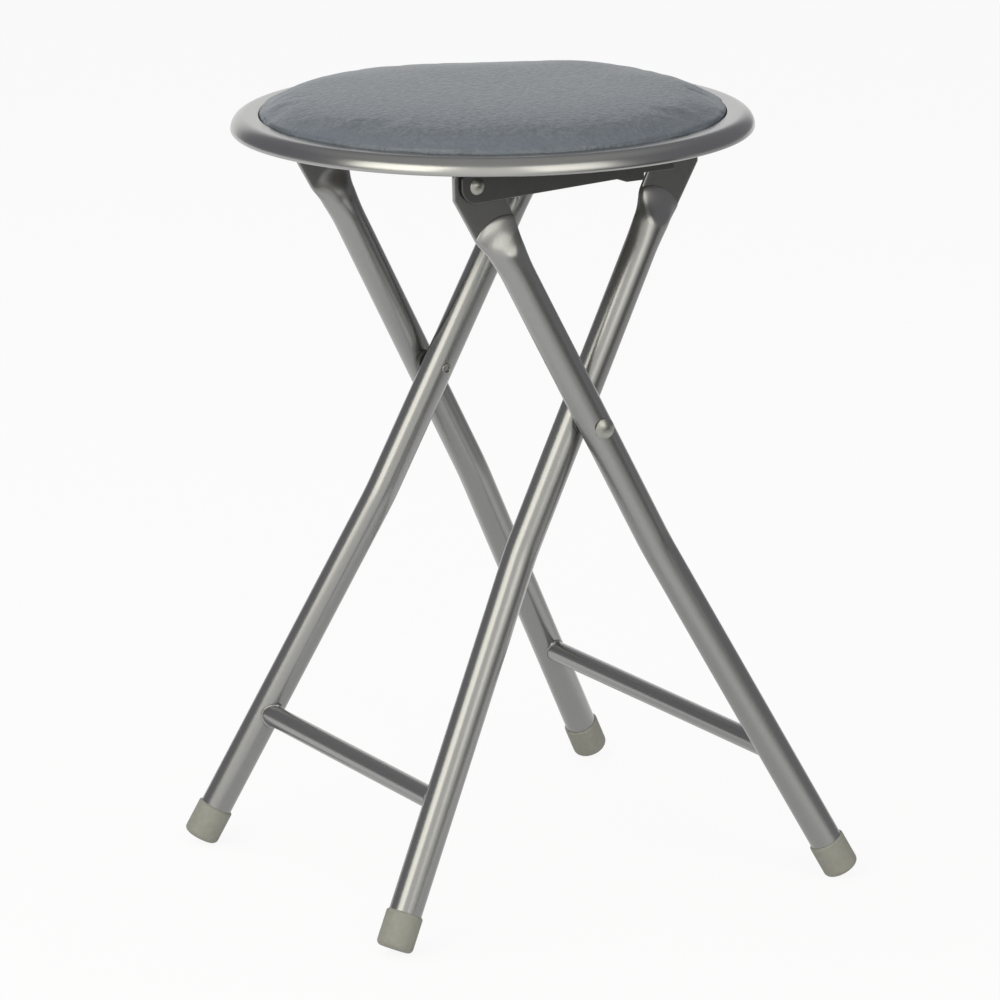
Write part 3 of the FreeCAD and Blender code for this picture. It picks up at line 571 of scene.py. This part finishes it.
def weld_bead(name, half, out, body, sign):
    """A seam of weld where a crossbar's end meets the leg tube, with a drop above and below."""
    axis = half + (BAR_DROP - BEND_DROP) * math.tan(FOOT_SPLAY)
    count, thickness, seam, drop, ripple = 72, 1.15 * MM, 0.7, 0.8, 0.1
    data = bpy.data.curves.new(name, "CURVE")
    data.dimensions = "3D"
    data.bevel_depth, data.bevel_resolution = thickness, 3
    spline = data.splines.new("POLY")
    spline.points.add(count - 1)
    spline.use_cyclic_u = True
    for index, point in enumerate(spline.points):
        angle = FULL_TURN * index / count
        across, up = BAR_R * math.cos(angle), BAR_R * math.sin(angle)
        depth = (math.sqrt(TUBE_R ** 2 - across ** 2) + up * math.sin(FOOT_SPLAY)) / math.cos(FOOT_SPLAY)
        point.co = (across, depth - axis, up - BAR_DROP, 1)
        point.radius = seam + drop * abs(math.sin(angle)) ** 9 + ripple * abs(math.sin(angle * 5))
    bead = bpy.data.objects.new(name, data)
    bpy.context.scene.collection.objects.link(bead)
    bpy.ops.object.select_all(action="DESELECT")
    bpy.context.view_layer.objects.active = bead
    bead.select_set(True)
    bpy.ops.object.convert(target="MESH")
    bpy.ops.object.mode_set(mode="EDIT")
    return finished(bpy.context.object, body, SILVER, (), placed(out, sign), smooth=60)


# Seat rim: sheet pressed to a quarter round, with an eased inner edge, a curled hem and a ledge below

def seat_rim():
    """One sheet turned round the seat: its outside line, and the inside line one thickness away."""
    low = -COVER_T
    bend = (SEAT_R - RIM_CURL + (RIM_CURL - RIM_ROUND) * math.cos(RIM_TURN), RIM_CREST - RIM_ROUND)
    curl = (SEAT_R - RIM_CURL, bend[1] + (RIM_ROUND - RIM_CURL) * math.sin(RIM_TURN))
    edge = (RIM_INNER + RIM_EASE, RIM_CREST - RIM_EASE)
    line = [((RIM_INNER, low), math.pi)]
    for centre, radius, first, last, count in (
            (edge, RIM_EASE, math.pi, math.pi / 2, 8), (bend, RIM_ROUND, math.pi / 2, RIM_TURN, 18),
            (curl, RIM_CURL, RIM_TURN, -RIM_HEM_TURN, 14)):
        for step in range(count + 1):
            angle = lerp(first, last, step / count)
            line.append(((centre[0] + radius * math.cos(angle), centre[1] + radius * math.sin(angle)), angle))
    outside = [point for point, angle in line]
    inside = [(r - SHEET * math.cos(angle), z - SHEET * math.sin(angle)) for (r, z), angle in line]
    inside[0] = (RIM_INNER + SHEET, low - SHEET)
    ledge = [(RIM_INNER - LEDGE, low - SHEET), (RIM_INNER - LEDGE, low)]
    rim = lathe("seat_rim_shell", outside + inside[::-1] + ledge, TURN_STEPS)
    return finished(rim, "seat", CHROME, ["seat_rim"],
                    Matrix.Translation((SEAT_X, 0, BOARD_Z)), smooth=50)


def rim_tab(index):
    """A screw tab under the board, welded to the rim's ledge."""
    reach, width, softened = 26.5 * MM, 18 * MM, 0.3 * MM
    middle = RIM_INNER - LEDGE / 2 - reach / 2
    tab = start("rim_tab_%d" % index, bpy.ops.mesh.primitive_cube_add, size=1)
    bpy.ops.transform.resize(value=(reach, width, SHEET))
    bpy.ops.transform.translate(value=(middle, 0, -COVER_T - SHEET / 2))
    bpy.ops.mesh.bevel(offset=softened, segments=2)
    place = Matrix.Translation((SEAT_X, 0, BOARD_Z)) @ Matrix.Rotation(index * math.pi / 2, 4, "Z")
    return finished(tab, "seat", SILVER, (), place)


# Cushion: PVC drawn over a foam pad and turned under the board, with puckers where it is pulled round

def cushion_line():
    """Half the cushion's outline: a low crown, a bulge over the rim's inner edge and a tuck below it."""
    wide, level, tuck, tuck_end = COVER_R + 1.5 * MM, 6.2 * MM, 1.6 * MM, 1.8 * MM
    crown_steps, tuck_steps, flatness, roundness = 44, 6, 3.6, 1.9
    line = []
    for step in range(crown_steps + 1):
        across = math.sin(math.pi / 2 * step / crown_steps)
        crown = (1 - across ** flatness) ** (1 / roundness)
        line.append((wide * across, level + (CUSHION_TOP - level) * crown))
    for step in range(1, tuck_steps + 1):
        drop = step / tuck_steps
        line.append((wide - tuck * drop ** 2, level - (level - tuck_end) * drop))
    return line


def cushion():
    """One closed skin: over the pad, round and under the board's edge, and back above the board."""
    board_r, flap_end, under = COVER_R - 1.9 * MM, COVER_R - COVER_FLAP, -0.1 * MM
    profile = cushion_line()
    profile += [(COVER_R - 0.7 * MM, 0.6 * MM), (COVER_R - MM, -0.6 * MM), (COVER_R - 1.8 * MM, -COVER_T),
                (COVER_R - COVER_FLAP / 2, -COVER_T), (flap_end, -COVER_T), (flap_end, under),
                (board_r, under), (board_r, BOARD_TOP), (board_r * 0.66, BOARD_TOP),
                (board_r * 0.33, BOARD_TOP), (0, BOARD_TOP)]
    pad = lathe("cushion_cover", profile, TURN_STEPS)
    closed_up()
    bpy.ops.object.mode_set(mode="OBJECT")
    puff(pad)
    finer = pad.modifiers.new("finer", "SUBSURF")
    finer.levels = finer.render_levels = 1
    bpy.ops.object.modifier_apply(modifier="finer")
    gather(pad)
    bpy.ops.object.mode_set(mode="EDIT")
    piece = finished(pad, "seat", PVC, ["seat_cover", "seat_foam"],
                     Matrix.Translation((SEAT_X, 0, BOARD_Z)), smooth=60)
    return piece


def puff(pad):
    """The foam's push on the cover, simulated, with the turned-under edge held and each move limited."""
    limit, steps = 1.2 * MM, 16
    low, inside, near = 3 * MM, COVER_R - 3 * MM, 0.2 * MM
    rest = [vertex.co.copy() for vertex in pad.data.vertices]
    fixed = [v.index for v in pad.data.vertices
             if v.co.z < low or (abs(v.co.z - BOARD_TOP) < near and v.co.xy.length < inside)]
    held = pad.vertex_groups.new(name="held")
    held.add(fixed, 1, "REPLACE")
    cloth = pad.modifiers.new("cloth", "CLOTH")
    cloth.settings.quality = 6
    cloth.settings.mass = 0.3
    cloth.settings.tension_stiffness = cloth.settings.compression_stiffness = 12
    cloth.settings.bending_stiffness = 0.6
    cloth.settings.vertex_group_mass = "held"
    cloth.settings.use_pressure = True
    cloth.settings.uniform_pressure_force = 3
    cloth.settings.effector_weights.gravity = 0
    for step in range(1, steps + 1):
        bpy.context.scene.frame_set(step)
    bpy.ops.object.modifier_apply(modifier="cloth")
    bpy.context.scene.frame_set(1)
    for vertex, before in zip(pad.data.vertices, rest):
        move = vertex.co - before
        if move.length > limit:
            vertex.co = before + move * (limit / move.length)
    pad.vertex_groups.clear()


def bell(distance, spread):
    """1 at no distance, falling smoothly to nothing some way past the spread."""
    return math.exp(-(distance / spread) ** 2)


def gather(pad):
    """Short pleats just above the rim, a wavy shoulder, and the broad dips and swells of a used pad."""
    pleat_level, pleat_depth, lip, wave_height = 8.2 * MM, 0.9 * MM, 0.9 * MM, 0.6 * MM
    for vertex in pad.data.vertices:
        radius, angle = vertex.co.xy.length, math.atan2(vertex.co.y, vertex.co.x)
        if vertex.co.z < 0 or radius < COVER_R * 0.5:
            continue
        around = Vector((math.cos(angle), math.sin(angle), 0))
        pleat = noise.noise(around * 34) * 0.6 + noise.noise(around * 75 + Vector((0, 0, 7))) * 0.4
        wave = noise.noise(around * 5.5 + Vector((3, 0, 2)))
        edge = bell(vertex.co.z - pleat_level, MM)
        shoulder = bell(radius / COVER_R - 0.93, 0.08)
        band = bell(radius / COVER_R - 0.8, 0.17)
        vertex.co += around * (pleat * pleat_depth + lip) * edge
        vertex.co.z += wave * wave_height * shoulder
        for at, spread, rise in SWELLS:
            vertex.co.z += rise * band * bell(angle - at, spread)


def rounded_sheet(node):
    """Pressed sheet straight from the construction, with its edges eased as a press leaves them."""
    weld = node.modifiers.new("weld", "WELD")
    weld.merge_threshold = MERGE
    bevel = node.modifiers.new("bevel", "BEVEL")
    bevel.width, bevel.segments = 0.35 * MM, 2
    bevel.limit_method, bevel.angle_limit = "ANGLE", math.radians(40)


for frame_name, half, draw, out in FRAMES:
    body = frame_name + "_frame"
    for side, sign in SIDES:
        leg("%s_leg_%s" % (frame_name, side), half, draw, out, body, sign)
        foot_cap("%s_foot_%s" % (frame_name, side), half, out, body, sign)
        weld_bead("%s_weld_%s" % (frame_name, side), half, out, body, sign)
for side, sign in SIDES:
    leg_rivet(side, sign)
    seat_rivet(side, sign)
    for sheet in ("seat_rail_", "rod_catch_"):
        rounded_sheet(NODES[sheet + side])
seat_rim()
for index in range(4):
    rim_tab(index)
cushion()


# Studio: a pale floor, grey walls with a white backdrop, two softboxes in front and one overhead

CAMERA_AT = Vector((-1426.5, -2354.6, 951.6)) * MM
CAMERA_AIM = Vector((-5.2, -2.7, 219.1)) * MM
CAMERA_ROLL = math.radians(-0.453)
LENS = 175.44


def camera():
    data = bpy.data.cameras.new("camera")
    data.lens = LENS
    eye = bpy.data.objects.new("camera", data)
    bpy.context.scene.collection.objects.link(eye)
    turn = (CAMERA_AIM - CAMERA_AT).to_track_quat("-Z", "Y").to_matrix().to_4x4()
    eye.matrix_world = Matrix.Translation(CAMERA_AT) @ turn @ Matrix.Rotation(CAMERA_ROLL, 4, "Z")
    bpy.context.scene.camera = eye


def towards(azimuth, elevation):
    """A direction from the stool: its angle to the camera's right of the way to the camera, and its rise."""
    front = (CAMERA_AT - CAMERA_AIM).xy.normalized()
    right = Vector((-front.y, front.x))
    level = front * math.cos(math.radians(azimuth)) + right * math.sin(math.radians(azimuth))
    rise = math.radians(elevation)
    return Vector((level.x * math.cos(rise), level.y * math.cos(rise), math.sin(rise)))


def softbox(name, azimuth, elevation, size, strength, colour="#FFFFFF", mirrored=True):
    """A square-on area light; strength is how bright its face looks, where 1 is white."""
    distance, aim = 2.2, Vector((0, 0, 0.25))
    data = bpy.data.lights.new(name, "AREA")
    data.shape = "RECTANGLE"
    data.size, data.size_y = size
    data.energy = strength * math.pi * size[0] * size[1]
    data.color = linear(colour)[:3]
    light = bpy.data.objects.new(name, data)
    bpy.context.scene.collection.objects.link(light)
    way = towards(azimuth, elevation)
    light.location = aim + way * distance
    light.rotation_euler = way.to_track_quat("Z", "Y").to_euler()
    light.visible_glossy = mirrored


def grey(level, tint="#FFFFFF"):
    """A grey, or a tint, of this level, where 1 is white."""
    return [level * channel for channel in linear(tint)[:3]] + [1.0]


def surround():
    """Walls that brighten towards the camera, a grey ceiling and a white backdrop; white to the camera."""
    world = bpy.data.worlds.new("surround")
    bpy.context.scene.world = world
    world.use_nodes = True
    tree = world.node_tree
    where = add(tree, "ShaderNodeTexCoord").outputs["Generated"]
    height = add(tree, "ShaderNodeSeparateXYZ", {0: where}).outputs["Z"]
    ahead = add(tree, "ShaderNodeVectorMath", {0: where, 1: towards(0, 0)},
                operation="DOT_PRODUCT").outputs["Value"]
    front = add(tree, "ShaderNodeMapRange", {"Value": ahead, "From Min": 0.3, "From Max": 0.9},
                interpolation_type="SMOOTHSTEP").outputs["Result"]
    walls = add(tree, "ShaderNodeMix", {0: front, 6: grey(0.3, "#F6F6FF"), 7: grey(1.2, "#FFFEFA")},
                data_type="RGBA").outputs[2]
    up = add(tree, "ShaderNodeMapRange", {"Value": height, "From Min": 0.6, "From Max": 0.95},
             interpolation_type="SMOOTHSTEP").outputs["Result"]
    room = add(tree, "ShaderNodeMix", {0: up, 6: walls, 7: grey(0.52)}, data_type="RGBA").outputs[2]
    away = add(tree, "ShaderNodeVectorMath", {0: where, 1: towards(-172, 0)},
               operation="DOT_PRODUCT").outputs["Value"]
    backdrop = add(tree, "ShaderNodeMapRange", {"Value": away, "From Min": 0.84, "From Max": 0.97},
                   interpolation_type="SMOOTHSTEP").outputs["Result"]
    low = add(tree, "ShaderNodeMapRange", {"Value": height, "From Min": 0.6, "From Max": 0.3},
              interpolation_type="SMOOTHSTEP").outputs["Result"]
    behind = add(tree, "ShaderNodeMath", {0: backdrop, 1: low}, operation="MULTIPLY").outputs["Value"]
    set_back = add(tree, "ShaderNodeMix", {0: behind, 6: room, 7: grey(1.05)}, data_type="RGBA").outputs[2]
    path = add(tree, "ShaderNodeLightPath")
    sight = add(tree, "ShaderNodeMath",
                {0: path.outputs["Is Camera Ray"], 1: path.outputs["Is Transmission Ray"]},
                operation="MAXIMUM").outputs["Value"]
    seen = add(tree, "ShaderNodeMix", {0: sight, 6: set_back, 7: grey(1.0)}, data_type="RGBA").outputs[2]
    tree.links.new(seen, tree.nodes["Background"].inputs["Color"])


def floor():
    """A pale floor, near white to the camera.

    Metal mirrors its glow with a painted shadow under the stool and painted shade far off to the right and in
    one sector.
    """
    bpy.ops.object.select_all(action="DESELECT")
    bpy.ops.mesh.primitive_plane_add(size=12, location=(0, 0, 0))
    plane = bpy.context.object
    plane.name = "studio_floor"
    material, tree, shader = new_material("pale_floor", Roughness=0.9, Specular_IOR_Level=0.0)
    shader.inputs["Base Color"].default_value = linear("#EDEDED")
    where = add(tree, "ShaderNodeTexCoord").outputs["Object"]
    spread = add(tree, "ShaderNodeVectorMath", {0: where}, operation="LENGTH").outputs["Value"]
    far = add(tree, "ShaderNodeMapRange", {"Value": spread, "From Min": 0.3, "From Max": 0.8},
              interpolation_type="SMOOTHSTEP").outputs["Result"]
    # Painted shadow: the glow that metal mirrors is dimmed under the stool.
    under = add(tree, "ShaderNodeMapRange",
                {"Value": spread, "From Min": 0.15, "From Max": 0.34, "To Min": 0.75},
                interpolation_type="SMOOTHSTEP").outputs["Result"]
    way = add(tree, "ShaderNodeVectorMath", {0: where}, operation="NORMALIZE").outputs["Vector"]
    right = add(tree, "ShaderNodeVectorMath", {0: way, 1: towards(85, 0)},
                operation="DOT_PRODUCT").outputs["Value"]
    side = add(tree, "ShaderNodeMapRange", {"Value": right, "From Min": 0.1, "From Max": 0.75},
               interpolation_type="SMOOTHSTEP").outputs["Result"]
    dim = add(tree, "ShaderNodeMath", {0: far, 1: side}, operation="MULTIPLY").outputs["Value"]
    open_floor = add(tree, "ShaderNodeMix", {0: dim, 6: grey(1.08), 7: grey(0.62)},
                     data_type="RGBA").outputs[2]
    # Painted shade: a sector off to the right is dimmed beyond 1.1 m, with no flag there.
    aside = add(tree, "ShaderNodeVectorMath", {0: way, 1: towards(62, 0)},
                operation="DOT_PRODUCT").outputs["Value"]
    shaded_sector = add(tree, "ShaderNodeMapRange", {"Value": aside, "From Min": 0.85, "From Max": 0.97},
                  interpolation_type="SMOOTHSTEP").outputs["Result"]
    beyond = add(tree, "ShaderNodeMapRange",
                 {"Value": spread, "From Min": 1.1, "From Max": 1.45, "To Max": 0.85},
                 interpolation_type="SMOOTHSTEP").outputs["Result"]
    shade = add(tree, "ShaderNodeMath", {0: shaded_sector, 1: beyond}, operation="MULTIPLY").outputs["Value"]
    kept = add(tree, "ShaderNodeMath", {0: 1.0, 1: shade}, operation="SUBTRACT").outputs["Value"]
    dimmed = add(tree, "ShaderNodeMath", {0: under, 1: kept}, operation="MULTIPLY").outputs["Value"]
    tone = add(tree, "ShaderNodeVectorMath", {0: open_floor, "Scale": dimmed},
               operation="SCALE").outputs["Vector"]
    mirrored = add(tree, "ShaderNodeEmission", {"Color": tone}).outputs["Emission"]
    glow = add(tree, "ShaderNodeEmission", {"Color": grey(0.9)}).outputs["Emission"]
    faint = add(tree, "ShaderNodeBsdfDiffuse", {"Color": grey(0.09)}).outputs["BSDF"]
    seen = add(tree, "ShaderNodeAddShader", {0: glow, 1: faint}).outputs["Shader"]
    path = add(tree, "ShaderNodeLightPath")
    shiny = add(tree, "ShaderNodeMixShader",
                {0: path.outputs["Is Glossy Ray"], 1: shader.outputs["BSDF"], 2: mirrored}).outputs["Shader"]
    mix = add(tree, "ShaderNodeMixShader", {0: path.outputs["Is Camera Ray"], 1: shiny, 2: seen})
    tree.links.new(mix.outputs["Shader"], tree.nodes["Material Output"].inputs["Surface"])
    plane.data.materials.append(material)


def studio():
    softbox("left_softbox", -43, 31, (1.45, 1.4), 2.3, "#FFFDF0")
    softbox("right_softbox", 34, 30, (1.3, 1.5), 1.3, "#FFFDF2")
    softbox("overhead_softbox", -110, 60, (1.6, 1.6), 1.35, mirrored=False)
    surround()
    floor()


camera()
studio()
bpy.context.scene.view_settings.view_transform = "Standard"
